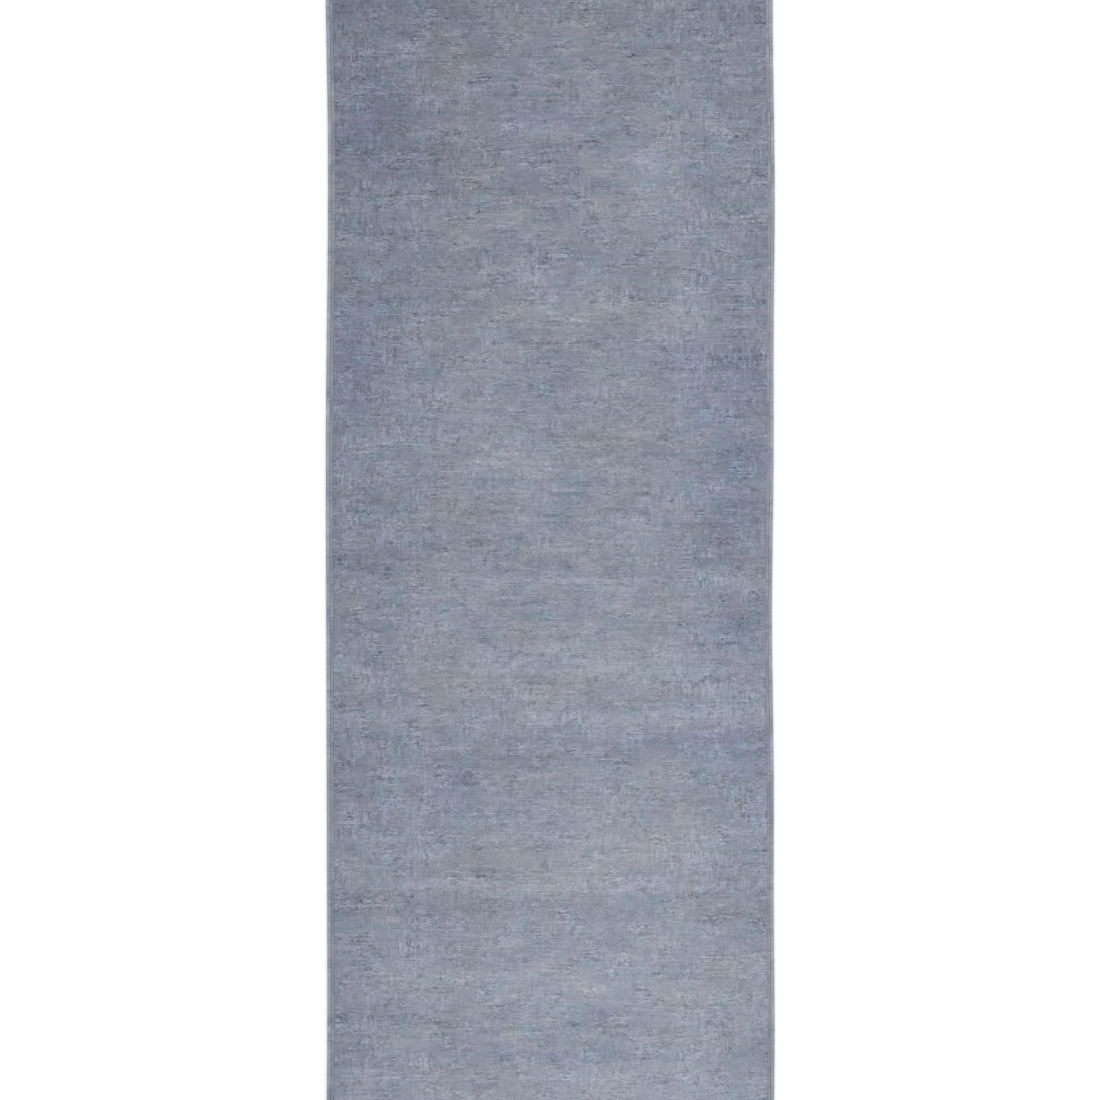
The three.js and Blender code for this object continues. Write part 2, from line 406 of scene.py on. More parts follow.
def wool_brightness(tree, at, wool, marks):
    """What the dye's colour is multiplied by: above 1 the wool is lighter, and below 1 darker."""
    streaks = weighted_sum(tree, [
        (pattern(tree, at["strand"], 7 * MM, ONE_ROW, **SOFT_BLOTS), 0.5, 0.60),
        (marks["dashes"], 0.5, 0.25),
        (marks["long_dashes"], 0.5, 0.21),
        (marks["strand_runs"], 0.5, 0.16),
    ])
    warp_lines = pattern(tree, at["column"], ONE_ROW, 16 * MM, **CRISP_CELLS)
    uprights = weighted_sum(tree, [(warp_lines, 0.5, 1.0)])
    uprights = add_node(tree, **MULTIPLY, inputs={0: uprights, 1: wool["coarseness"]})
    coarse_knots = add_node(tree, **MULTIPLY, inputs={0: marks["knots"], 1: wool["coarseness"]})

    # Here the streaks run mostly across the rug, and there lengthwise too, as the old drawing did.
    drawing = pattern(tree, at["point"], 50 * MM, 38 * MM, detail=1.0, **SOFT_BLOTS)
    across = add_node(tree, "ShaderNodeMapRange", inputs={
        "Value": drawing, **BLOT_RANGE, "To Min": 1.5, "To Max": 0.5})
    along = add_node(tree, "ShaderNodeMapRange", inputs={
        "Value": drawing, **BLOT_RANGE, "To Max": 0.72})
    uneven = weighted_sum(tree, [
        (streaks, 0.0, across),
        (uprights, 0.0, along),
        (pattern(tree, at["point"], 8 * MM, 7 * MM, detail=1.0, **SOFT_BLOTS), 0.5, 0.22),
        (pattern(tree, at["knot"], 20 * MM, 15 * MM, detail=1.0, **SOFT_BLOTS), 0.5, 0.26),
        (pattern(tree, at["knot"], 30 * MM, 20 * MM, **CRISP_CELLS), 0.5, 0.07),
        (coarse_knots, 0.25, 0.24),
        (curling_outline(tree, at["knot"], 34 * MM, 0.030), 0.2, -0.13),
        (curling_outline(tree, at["knot"], 27 * MM, 0.026), 0.2, 0.15),
        # Each tuft is darker towards its edge: painted shade in the gaps between tufts.
        (marks["tufts"], 0.4, -0.20),
    ])

    # Busy where the old design was finely drawn, and calm where it was plain.
    busy = pattern(tree, at["knot"], 46 * MM, 36 * MM, detail=1.0, **SOFT_BLOTS)
    busy = add_node(tree, "ShaderNodeMapRange", inputs={
        "Value": busy, **BLOT_RANGE, "To Min": 0.56, "To Max": 1.14})
    # The paler the wool, the less one strand differs from the next.
    contrast = add_node(tree, "ShaderNodeMapRange", inputs={
        "Value": wool["paleness"], "From Min": 0.3, "From Max": 0.75, "To Min": 1.08, "To Max": 0.84})
    uneven = add_node(tree, **MULTIPLY, inputs={0: uneven, 1: busy})
    return add_node(tree, **MULTIPLY_ADD, inputs={0: uneven, 1: contrast, 2: 1.0})


def wool_dye(tree, at, wool, marks):
    """The dye's colour: blue where the wool took it deeply, and grey where the wool is worn."""
    grey_share = weighted_sum(tree, [
        (marks["long_dashes"], 0.5, 0.20),
        (marks["dashes"], 0.5, 0.24),
        (pattern(tree, at["knot"], 44 * MM, 30 * MM, **CRISP_CELLS), 0.5, 0.2),
        (wool["greyness"], 0.0, 1.0),
    ])
    # Some of the wool leans to violet and some to green: what was red before leans one way, and
    # what was yellow the other.
    lean = weighted_sum(tree, [
        (pattern(tree, at["point"], 60 * MM, 50 * MM, detail=2.0, **SOFT_BLOTS), 0.5, 2.3),
        (pattern(tree, at["row"], 30 * MM, ONE_ROW, **CRISP_CELLS), 0.5, 0.8),
        (wool["greyness"], 0.0, -0.3),
    ], start=0.65)
    deep_blue = add_node(tree, **COLOUR_MIX, inputs={
        "Factor": lean, "A": srgb("#657282"), "B": srgb("#6e7184")})
    pale_blue = add_node(tree, **COLOUR_MIX, inputs={
        "Factor": lean, "A": srgb("#95a5b6"), "B": srgb("#9fa2b8")})
    blue = add_node(tree, **COLOUR_MIX, inputs={
        "Factor": wool["paleness"], "A": deep_blue, "B": pale_blue})
    grey = add_node(tree, **COLOUR_MIX, inputs={
        "Factor": wool["paleness"], "A": srgb("#767781"), "B": srgb("#a9aab1")})
    return add_node(tree, **COLOUR_MIX, inputs={"Factor": grey_share, "A": blue, "B": grey})


def with_undyed_wool(tree, colour, marks):
    """Adds a strand or a knot here and there of pale wool that the dye never took.

    Hairs of it are too fine to show at their own size, so the few there are drawn as whole strands
    and knots.
    """
    strands = add_node(tree, "ShaderNodeMapRange", inputs={
        "Value": marks["strand_runs"], "From Min": 0.90, "From Max": 0.95, "To Max": 0.30})
    knots = add_node(tree, "ShaderNodeMath", operation="GREATER_THAN",
                     inputs={0: marks["knots"], 1: 0.9965})
    knots = add_node(tree, **MULTIPLY, inputs={0: knots, 1: 0.35})
    for share, undyed in ((strands, "#c4c2be"), (knots, "#c2c6cb")):
        colour = add_node(tree, **COLOUR_MIX, inputs={"Factor": share, "A": colour, "B": srgb(undyed)})
    return colour


def overdyed_wool_pile():
    """Hand-spun wool, knotted, sheared low and dyed over its old colours.

    Each row takes the dye in short dashes, because one strand ties a run of knots, so the rug reads
    as fine streaks across it. Fine curling outlines are all that is left of the old design.
    """
    material, tree, shader = new_material(
        "overdyed_wool_pile", {**FIBRE, "Roughness": 0.92, "Sheen Weight": 0.14})
    at = knotted_places(tree)
    marks = wool_marks(tree, at)
    wool = {}
    for quality in ("paleness", "greyness", "coarseness"):
        wool[quality] = add_node(tree, "ShaderNodeAttribute", output="Fac", attribute_name=quality)

    colour = add_node(tree, "ShaderNodeVectorMath", operation="SCALE", inputs={
        0: wool_dye(tree, at, wool, marks), "Scale": wool_brightness(tree, at, wool, marks)})
    tree.links.new(with_undyed_wool(tree, colour, marks), shader.inputs["Base Color"])

    fibres = add_node(tree, **SOFT_LUMPS, inputs={
        "Vector": at["point"], "Scale": 1 / (0.8 * MM), "Detail": 2.0})
    height = weighted_sum(tree, [(marks["tufts"], 0.5, -0.8), (fibres, 0.5, 1.0)])
    bump = add_node(tree, "ShaderNodeBump", inputs={
        "Strength": 0.8, "Distance": 0.7 * MM, "Height": height})
    tree.links.new(bump, shader.inputs["Normal"])
    return material


# ---------- yarns of the edges, ends and back

def spun_yarn(name, pale, deep, faded, streak):
    """A yarn of one dye, uneven over streaks of the given size, and faded in broad patches."""
    material, tree, shader = new_material(name, {**FIBRE, "Roughness": 0.93, "Sheen Weight": 0.12})
    place = add_node(tree, "ShaderNodeTexCoord", output="Object")
    dye = pattern(tree, place, *streak, detail=3.0, roughness=0.65, **SOFT_LUMPS)
    share = add_node(tree, "ShaderNodeMapRange", inputs={
        "Value": dye, "From Min": 0.3, "From Max": 0.7})
    # Where a mesh carries it, this makes the yarn paler where worn, and darker on the inner cord,
    # partly as painted shade beside the pile.
    rubbed = add_node(tree, "ShaderNodeAttribute", output="Fac", attribute_name="rubbed")
    share = add_node(tree, "ShaderNodeMath", operation="ADD", use_clamp=True,
                     inputs={0: share, 1: rubbed})
    colour = add_node(tree, **COLOUR_MIX, inputs={"Factor": share, "A": srgb(deep), "B": srgb(pale)})
    patches = pattern(tree, place, 60 * MM, 45 * MM, detail=2.0, **SOFT_LUMPS)
    fading = add_node(tree, "ShaderNodeMapRange", inputs={
        "Value": patches, "From Min": 0.42, "From Max": 0.70, "To Max": 0.7})
    colour = add_node(tree, **COLOUR_MIX, inputs={"Factor": fading, "A": colour, "B": srgb(faded)})
    tree.links.new(colour, shader.inputs["Base Color"])

    fibres = add_node(tree, **SOFT_LUMPS, inputs={
        "Vector": place, "Scale": 1 / (0.5 * MM), "Detail": 2.0})
    bump = add_node(tree, "ShaderNodeBump", inputs={
        "Strength": 0.4, "Distance": 0.3 * MM, "Height": fibres})
    tree.links.new(bump, shader.inputs["Normal"])
    return material


def dyed_cotton_ground():
    """Plain-woven cotton with the backs of the knots in it: pale flecks in a grey-blue back."""
    return spun_yarn("dyed_cotton_ground", "#aeb1b8", "#7c8292", "#9fa0a6",
                     streak=(3.0 * MM, 1.5 * MM, 3.0 * MM))


def overcast_wool():
    """Wool wound tightly round the cords: each turn its own depth, worn pale on the outside, and darker
    on the inner cord, partly as painted shade.
    """
    return spun_yarn("overcast_wool", "#a6a8b2", "#828692", "#99989f",
                     streak=(14 * MM, 3.0 * MM, 14 * MM))


def plied_cotton_cord():
    """Undyed cotton strands twisted together: a warm off-white that only shows at a cut end."""
    return spun_yarn("plied_cotton_cord", "#cbc8bd", "#a9a69c", "#bdb9ab",
                     streak=(2.0 * MM, 8.0 * MM, 2.0 * MM))


def flat_woven_wool():
    """Weft packed down until it hides the warp: short level dashes across the strip."""
    return spun_yarn("flat_woven_wool", "#a2a8b4", "#747b8c", "#9a9ba3",
                     streak=(26 * MM, 1.25 * MM, 20 * MM))


def dyed_cotton_warp_ends():
    """Loose cotton ends that took the dye thinly: pale, and uneven along each strand."""
    return spun_yarn("dyed_cotton_warp_ends", "#b4b8c0", "#868c99", "#b3b1b0",
                     streak=(3 * MM, 16 * MM, 3 * MM))


# ---------- the old design under the dye

# Bands of dye across the rug: the place along it, the half depth, and how much paler the wool is.
DYE_BANDS = [
    (0.97, 0.03, -5), (0.434, 0.01, 4), (-0.015, 0.02, -3), (-0.06, 0.01, 3),
    (-0.205, 0.035, 2.5), (-0.30, 0.016, 4), (-0.355, 0.022, -4.5), (-0.44, 0.04, -1.5),
    (-0.53, 0.045, 3), (-0.605, 0.009, 4), (-0.645, 0.014, -6), (-0.76, 0.05, 2),
    (-0.90, 0.016, -4), (-0.96, 0.03, 2),
]

# Soft patches: the place across and along, the half width and depth, and how much paler they are.
DYE_PATCHES = [
    (0.06, 0.86, 0.10, 0.05, 4), (0.17, 0.69, 0.05, 0.05, 15), (0.19, 0.60, 0.05, 0.04, 5),
    (-0.10, 0.60, 0.09, 0.04, 4), (0.15, 0.49, 0.04, 0.03, -4), (0.24, 0.43, 0.04, 0.03, 6),
    (0.06, 0.42, 0.12, 0.04, 3), (-0.15, 0.34, 0.09, 0.05, 6), (-0.20, 0.25, 0.08, 0.04, 3),
    (0.03, 0.22, 0.05, 0.03, -3), (-0.09, 0.16, 0.08, 0.03, 10), (-0.03, 0.09, 0.04, 0.05, 5),
    (-0.15, -0.09, 0.05, 0.06, 6), (-0.10, -0.20, 0.05, 0.03, 8), (0.15, -0.10, 0.03, 0.03, 5),
    (0.11, -0.21, 0.04, 0.03, 6), (0.24, -0.27, 0.08, 0.04, 2), (0.08, -0.55, 0.12, 0.06, 3),
    (0.15, -0.67, 0.10, 0.04, 2.5), (0.02, -0.77, 0.10, 0.05, 7), (-0.24, -0.77, 0.06, 0.05, 3),
    (0.10, -0.96, 0.14, 0.03, 3), (-0.30, 0.73, 0.06, 0.06, -4), (-0.22, 0.72, 0.16, 0.10, -2.5),
    (-0.33, 0.35, 0.05, 0.08, -3), (0.32, 0.33, 0.06, 0.05, -4), (0.31, 0.15, 0.06, 0.09, -6),
    (0.30, 0.02, 0.07, 0.04, -8), (0.35, -0.12, 0.06, 0.07, -6), (-0.33, -0.02, 0.06, 0.07, -6),
    (-0.30, -0.20, 0.07, 0.05, -3), (-0.15, -0.43, 0.06, 0.05, -5), (-0.35, -0.40, 0.06, 0.10, -3),
    (-0.20, -0.53, 0.12, 0.05, -5), (0.33, -0.58, 0.06, 0.04, -6), (-0.34, -0.62, 0.06, 0.04, -4),
    (-0.34, -0.88, 0.10, 0.08, -2), (0.30, -0.80, 0.09, 0.10, 3), (0.12, 0.20, 0.06, 0.06, -4),
]

# Patches of hue: the place across and along, the half width and depth, and how much greyer they are.
HUE_PATCHES = [
    (0.32, 0.20, 0.06, 0.22, -0.34), (0.33, -0.15, 0.06, 0.06, -0.25),
    (0.20, -0.35, 0.17, 0.026, -0.34), (0.33, -0.40, 0.06, 0.05, -0.26),
    (-0.17, -0.43, 0.045, 0.06, -0.38), (-0.33, 0.76, 0.07, 0.08, -0.45),
    (-0.36, 0.33, 0.05, 0.10, -0.50), (-0.34, 0.10, 0.06, 0.08, -0.20),
    (0.01, 0.77, 0.07, 0.03, -0.35), (0.00, -0.905, 0.25, 0.012, -0.34),
    (-0.08, -0.735, 0.17, 0.012, -0.20), (0.08, -0.83, 0.13, 0.012, -0.20),
    (-0.16, 0.85, 0.04, 0.05, 0.25), (0.10, 0.42, 0.17, 0.03, 0.20),
    (-0.05, -0.24, 0.33, 0.03, 0.20), (0.26, -0.52, 0.05, 0.05, 0.20),
    (0.12, 0.20, 0.06, 0.12, 0.14), (0.00, -0.56, 0.20, 0.06, 0.12),
    (0.30, -0.80, 0.08, 0.10, 0.16),
]

MEDALLION_SPACING = 0.74      # from the middle of one medallion to the next
MEDALLION_START = 0.65        # where one of them is
# A medallion's outlines: how far each is from its middle, the half width, and how blue it is.
MEDALLION_OUTLINES = [(0.070, 0.022, 0.9), (0.110, 0.018, -1.1), (0.150, 0.018, 0.7)]
ROSETTE_SPACING = 0.118
BAND_BLUR = 8 * MM            # how softly a band of the design ends


def ghost_design(x, y):
    """How blue the old design leaves the dye, from about -1 to 1.

    A chain of diamond medallions runs along the field and a row of rosettes on a vine along each
    border.
    """
    along = (y - MEDALLION_START) / MEDALLION_SPACING
    along = (along - np.round(along)) * MEDALLION_SPACING
    diamond = np.abs(x) / 1.1 + np.abs(along)
    scallop = 0.010 * np.cos(6 * np.arctan2(along, x + 1e-6))
    medallion = -0.6 * bell(diamond, 0.0, 0.025)
    for reach, width, blue in MEDALLION_OUTLINES:
        medallion += blue * bell(diamond, reach + scallop, width)
    medallion *= soft_step(FIELD_X - np.abs(x), 0, BAND_BLUR)

    outward = np.abs(x) - (GUARD_X + BORDER_X) / 2
    step = (y / ROSETTE_SPACING - np.round(y / ROSETTE_SPACING)) * ROSETTE_SPACING
    petal = np.hypot(outward, step)
    petals = 0.026 + 0.004 * np.cos(5 * np.arctan2(step, outward))
    rosette = 0.8 * bell(petal, petals, 0.006) - 0.5 * bell(petal, 0.0, 0.010)
    vine = 0.4 * bell(outward, 0.030 * np.sin(TURN * y / ROSETTE_SPACING), 0.006)
    border = soft_step(np.abs(x) - GUARD_X, 0, BAND_BLUR)
    border *= soft_step(BORDER_X - np.abs(x), 0, BAND_BLUR)
    return medallion + (rosette + vine) * border


# Strengths here are in steps of brightness, of 255.
DYE_RANGE = 44.0          # from the deepest dye to the palest
PALENESS_TOWARDS_NEAR_END = 8.5           # how much paler the wool gets over a metre, towards the near end
LEFT_DRIFT = 23.0         # how much darker the wool gets over a metre, from the middle to the left
LEFT_EDGE_DEPTH = 4.0     # how much darker it is along the very edge there
RIGHT_EDGE_DEPTH = 6.0    # and along the right side
GHOST_DEPTH = 1.4         # how much the old design still shows
WEAR_PALENESS = 1.5       # how much paler worn wool is
PALENESS_SHIFT = 3.8      # added all over, to make up for what the drifts take away
# Blots of uneven dye: their strength, their size across and along, and their layers.
DYE_BLOTS = [(1.3, 0.500, 0.020, 3), (1.5, 0.090, 0.014, 3), (2.0, 0.045, 0.034, 4)]


def dye_of_each_knot(x, y):
    """The paleness, greyness, coarseness and wear of the wool at each place, each from 0 to 1."""
    design = ghost_design(x, y)
    # The wool is paler towards the near end, darker towards the left, and darker along both long sides.
    pale = PALENESS_SHIFT - GHOST_DEPTH * design - PALENESS_TOWARDS_NEAR_END * np.clip(y, -1.0, 1.0)
    pale -= LEFT_DRIFT * np.clip(0.04 - x, 0, 1) + LEFT_EDGE_DEPTH * soft_step(-x, 0.35, 0.40)
    pale -= RIGHT_EDGE_DEPTH * soft_step(x, 0.22, 0.42)
    # The guard stripe is paler, mostly on the right beyond the middle, and towards the near end.
    guard = bell(np.abs(x), (FIELD_X + GUARD_X) / 2, 6 * MM)
    pale += guard * (0.8 + 3.5 * bell(y, 0.28, 0.26) * (x > 0) + 1.5 * bell(y, -0.75, 0.3))
    for middle, depth, strength in DYE_BANDS:
        pale += strength * bell(y + 0.004 * np.sin(9 * x + 40 * middle), middle, depth)
    for across, along, width, depth, strength in DYE_PATCHES:
        pale += strength * bell(x, across, width) * bell(y, along, depth)
    for strength, width, depth, layers in DYE_BLOTS:
        pale += strength * smooth_noise(x, y, width, depth, layers)

    wear = soft_step(smooth_noise(x, y, 0.110, 0.070, 4), 0.9, 2.4)
    grey = 0.50 + 0.10 * smooth_noise(x, y, 0.060, 0.045, 3) - 0.10 * design + 0.12 * wear
    grey -= 0.08 * soft_step(np.abs(x), GUARD_X - 0.02, GUARD_X + 0.02)
    for across, along, width, depth, strength in HUE_PATCHES:
        grey += strength * bell(x, across, width) * bell(y, along, depth)

    coarse = 0.38 + 0.38 * soft_step(np.abs(x), FIELD_X - 0.01, GUARD_X)
    coarse += 0.35 * smooth_noise(x, y, 0.080, 0.060, 2)
    paleness = 0.5 + (pale + WEAR_PALENESS * wear) / DYE_RANGE
    return [np.clip(share, 0, 1) for share in (paleness, grey, coarse)] + [wear]


# ---------- pile

TUFT_SPACING = 4.0 * MM       # how far apart the pile's points stand across the rug
ROW_GROOVE = 0.70 * MM        # how deep the groove between two rows is
TUFT_UNEVENNESS = 0.30 * MM   # how much one tuft's height differs from the next
WEAR_DEPTH = 0.8 * MM         # how much pile the most walked-on patches have lost
SIDE_ROUNDING = 1.0 * MM      # how far the pile drops at its long edges
END_ROUNDING = 2.6 * MM       # and at its ends, where nothing holds the tufts up
EDGE_DEPTH = 3.5 * MM         # how wide a rounded edge is
EDGE_LEAN = 1.6 * MM          # how far the outermost tufts lean out over the cord beside them
KNOT_LEAN = 0.7 * MM          # more than that on the right: the knots are open to that side
ROW_DRIFT = ROW_PITCH / 8     # about how far a row strays along the rug
TUFT_SWAY = TUFT_SPACING / 5  # about how far a tuft strays across it
LONG_NODE = 1.0               # a node longer than this is made as several lengths,
LENGTHS = 4                   # which is this many


def row_lines():
    """Places along the rug of the rows' tops and grooves, and 1 for each that is a groove.

    Even lines run along the rows' tops, and odd lines along the grooves between the rows.
    """
    lines_a_half = 2 * round(HALF_LENGTH / ROW_PITCH)
    ys = np.linspace(-HALF_LENGTH, HALF_LENGTH, 2 * lines_a_half + 1)
    return ys, (np.arange(len(ys)) % 2)[:, None]


def pile_grid():
    """The pile's points over the whole rug, their normals, and the dye of the wool at each."""
    band_ends = [FIELD_X, GUARD_X, BORDER_X, HALF_WIDTH]
    xs = lines_between([-end for end in band_ends[::-1]] + band_ends, TUFT_SPACING)
    ys, groove = row_lines()
    x, y = np.meshgrid(xs, ys)
    paleness, greyness, coarseness, wear = dye_of_each_knot(x, y)

    drop = groove * ROW_GROOVE * (0.75 + 0.25 * smooth_noise(x, y, 0.02, 0.004, 1))
    drop += np.abs(rng.standard_normal(x.shape)) * TUFT_UNEVENNESS
    drop += np.abs(smooth_noise(x, y, 0.030, 0.012, 3)) * TUFT_UNEVENNESS
    drop += wear * WEAR_DEPTH
    to_side, to_end = HALF_WIDTH - np.abs(x), HALF_LENGTH - np.abs(y)
    drop += SIDE_ROUNDING * (1 - soft_step(to_side, -2 * MM, EDGE_DEPTH))
    drop += END_ROUNDING * (1 - soft_step(to_end, -1 * MM, 2 * EDGE_DEPTH))

    # Rows and tufts stray a little, and those along the rug's own edges lean outwards.
    inside = np.minimum(to_side, to_end) > TUFT_SPACING
    loose = rng.uniform(0.6, 1.0, x.shape) * (EDGE_LEAN + KNOT_LEAN * (x > 0))
    drift = ROW_DRIFT * smooth_noise(x, y, 0.060, 0.020, 2) * inside
    sway = TUFT_SWAY * smooth_noise(x, y, 0.006, 0.003, 1) * inside
    sway += np.sign(x) * loose * (to_side < 0.1 * MM)
    drift += np.sign(y) * loose * (to_end < 0.1 * MM)
    grid = np.stack([x + sway, y + drift, PILE_TOP - drop], -1)
    laid = lie_down(grid)
    normals = np.cross(np.gradient(laid, axis=1), np.gradient(laid, axis=0))
    normals /= np.linalg.norm(normals, axis=-1, keepdims=True)
    place = np.stack([x, y, np.zeros_like(x)], -1)
    values = {"knot_place": place, "paleness": paleness,
              "greyness": greyness, "coarseness": coarseness}
    return xs, ys, grid, normals, values


def nearest_line(lines, place, outward):
    """The number of the line where a node ends, counted from the middle of the frame's gap."""
    return int(np.argmin(np.abs(lines - place - outward * FRAME_GAP / 2)))


def make_pile(material):
    """Cuts the pile's grid into its nodes, and the long nodes into lengths."""
    xs, ys, grid, normals, values = pile_grid()
    pieces = []
    for node in PILE_NODES:
        low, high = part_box(node)
        first, last = nearest_line(xs, low.x, -1), nearest_line(xs, high.x, 1)
        start, end = nearest_line(ys, low.y, -1), nearest_line(ys, high.y, 1)
        lengths = LENGTHS if high.y - low.y > LONG_NODE else 1
        cuts = np.linspace(start, end, lengths + 1).astype(int)
        slot = node if node == "pile_field" else node.rsplit("_", 1)[0]
        for number in range(lengths):
            part = (slice(cuts[number], cuts[number + 1] + 1), slice(first, last + 1))
            points, faces, own = slab_mesh(grid[part], PILE_BOTTOM)
            name = node.replace("pile", "wool_pile") + (f"_{number + 1}" if lengths > 1 else "")
            kept = {title: with_walls(numbers[part]) for title, numbers in values.items()}
            pieces.append(add_piece(name, points, faces, material, slot, node, own,
                                    with_walls(normals[part]), **kept))
    return pieces


# ---------- foundation and kilim ends

BACK_RIB = 0.45 * MM          # how deep the grooves between the knots' backs are
BACK_UNEVENNESS = 0.08 * MM
BACK_SPACING = 26 * MM        # how far apart the back's points stand across the rug


def make_foundation(material):
    """The ground cloth. Its back shows the rows of knots as ribs across the rug."""
    ys, groove = row_lines()
    x, y = np.meshgrid(lines_between([-HALF_WIDTH, HALF_WIDTH], BACK_SPACING), ys)
    height = groove * BACK_RIB + np.abs(smooth_noise(x, y, 0.04, 0.01, 2)) * BACK_UNEVENNESS
    points, faces, own = slab_mesh(np.stack([x, y, height], -1), FOUNDATION_TOP)
    return add_piece("cotton_foundation", points, faces, material,
                     "cotton_foundation", "foundation_cloth", own)


WARP_PITCH = 3.0 * MM
WEFT_PITCH = 1.25 * MM
WEFT_RISE = 0.28 * MM         # how far a weft stands up where it goes over a warp
WEFT_GROOVE = 0.35 * MM       # how deep the groove between two wefts is


def make_kilim(side, material):
    """A flat-woven strip: each weft goes over one warp and under the next, and hides them both."""
    low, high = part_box(f"kilim_end_{side}")
    xs = lines_between([low.x, high.x], WARP_PITCH / 2)
    ys = lines_between([low.y, high.y], WEFT_PITCH / 2)
    x, y = np.meshgrid(xs, ys)
    column, row = np.meshgrid(np.arange(len(xs)), np.arange(len(ys)))
    over = np.cos(math.pi * (column // 2 + row // 2)) * (column % 2 == 0)
    groove = (row % 2) * WEFT_GROOVE
    top = np.stack([x, y, high.z - WEFT_RISE * (1 - over) - groove], -1)
    bottom = np.stack([x, y, low.z + WEFT_RISE * (1 + over) + groove], -1)
    points, faces = sheet_mesh(top, bottom)
    return add_piece(f"kilim_weave_{side}", points, faces, material,
                     "kilim_weave", f"kilim_end_{side}")


# ---------- selvedges

WRAP_PITCH = 2.4 * MM         # from one turn of the overcasting yarn to the next
WRAP_RELIEF = 0.05            # the groove between two turns, as a share of the cord's radius
UNEVEN_WINDING = 0.015        # how much one turn is thinner than the next, as a share of that too
CORD_SIDES = 12
# How square the cords are wound: 1 is an oval, and less fills the groove beside the cord.
CORD_SQUARENESS = {"left": 0.56, "right": 0.40}
INNER_SHADE_AND_RUBBING = {"left": -0.50, "right": -0.32}     # the inner cords are darker than the outer: partly less worn, partly painted shade beside the pile
UNEVEN_RUBBING = 0.30         # how much more of the yarn is rubbed pale in one place than the next
HOLE_STEP = 50 * MM           # from one ring of points to the next inside a cord
CORE_STEP = 4.5 * MM          # and along a core
CORE_SIDES = 9
CORE_TWIST = 14 * MM          # one full turn of the three strands of a core
CORE_OUT = 2.5 * MM           # how far a cut core shows past its overcasting


def cord_ring(angles, half_width, half_height, squareness):
    """Offsets (across, up) of points round a slightly squared oval."""
    across, up = np.cos(angles), np.sin(angles)
    across = np.sign(across) * np.abs(across) ** squareness
    up = np.sign(up) * np.abs(up) ** squareness
    return half_width * across, half_height * up


def core_middle(side, place):
    """The middle of one of an edge's two cores, and its half size."""
    low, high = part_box(f"selvedge_core_{side}_{place}")
    return (low + high) / 2, (high - low) / 2


def wound_cord(side, place, hand, rub):
    """One cord's overcasting: its outer rings, the rings of its hole, and how worn the yarn is, with
    painted shade on the inner cord.
    """
    low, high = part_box(f"selvedge_overcasting_{side}")
    middle, hole = core_middle(side, place)
    half_width = (high.x - low.x) / 2 - abs(middle.x - (low.x + high.x) / 2)
    half_height = (high.z - low.z) / 2
    away = 1 if side == "left" else -1
    angles = np.arange(CORD_SIDES) * TURN / CORD_SIDES

    y, angle = np.meshgrid(lines_between([low.y, high.y], WRAP_PITCH / 2), angles, indexing="ij")
    turn = y / WRAP_PITCH + hand * angle / TURN
    uneven = np.abs(rng.normal(0, UNEVEN_WINDING, (len(y), 1)))
    swell = 1 - WRAP_RELIEF * (1 - np.abs(np.cos(math.pi * turn))) - uneven
    across, up = cord_ring(angle, half_width * swell, half_height * swell, CORD_SQUARENESS[side])
    slant = 0.25 * WRAP_PITCH * np.sin(angle) * hand * (np.abs(y) < high.y - WRAP_PITCH)
    outer = np.stack([middle.x + away * across, y + slant, middle.z + up], -1)
    rubbing_and_shade = rub + UNEVEN_RUBBING * smooth_noise(0 * y, y, 1.0, 0.030, 4)

    y, angle = np.meshgrid(lines_between([low.y, high.y], HOLE_STEP), angles, indexing="ij")
    across, up = hole.x * np.cos(angle), hole.z * np.sin(angle)
    return outer, np.stack([middle.x + away * across, y, middle.z + up], -1), rubbing_and_shade


def make_wrapping(side, material):
    """One yarn wound round both cords in a figure of eight: one way round one, back round the other."""
    points, faces, rubbed = [], [], []
    # The inner cord's yarn is set darker: partly less worn, partly painted shade beside the pile.
    for place, hand, rub in (("outer", 1, 0.0), ("inner", -1, INNER_SHADE_AND_RUBBING[side])):
        outer, inner, rubbing_and_shade = wound_cord(side, place, hand, rub)
        count = sum(len(part) for part in points)
        sleeve = sleeve_faces(len(outer), len(inner), CORD_SIDES, count)
        faces += turned_over(sleeve, side == "left")
        points += [outer.reshape(-1, 3), inner.reshape(-1, 3)]
        rubbed += [rubbing_and_shade.ravel(), np.full(len(points[-1]), rub)]
    return add_piece(f"selvedge_wrapping_{side}", np.concatenate(points), faces, material,
                     "wool_overcasting", f"selvedge_overcasting_{side}",
                     rubbed=np.concatenate(rubbed))


def make_cord(side, place, material):
    """A bundle of edge warps, three strands laid together, which the overcasting hides."""
    middle, half = core_middle(side, place)
    reach = WOVEN_HALF_LENGTH + CORE_OUT
    ys = lines_between([-reach, reach], CORE_STEP)
    y, angle = np.meshgrid(ys, np.arange(CORE_SIDES) * TURN / CORE_SIDES, indexing="ij")
    lobes = 0.86 + 0.10 * np.cos(3 * (angle - TURN * y / CORE_TWIST))
    across, up = -half.x * np.cos(angle) * lobes, half.z * np.sin(angle) * lobes
    points = np.stack([middle.x + across, y, middle.z + up], -1)
    return add_piece(f"selvedge_cord_{side}_{place}", points.reshape(-1, 3),
                     tube_faces(len(ys), CORE_SIDES), material,
                     "selvedge_core", f"selvedge_core_{side}_{place}")


def make_selvedge(side, wrap_material, cord_material):
    """Two cords side by side along the edge, and their overcasting."""
    cords = [make_cord(side, place, cord_material) for place in ("outer", "inner")]
    return [*cords, make_wrapping(side, wrap_material)]


# ---------- fringes

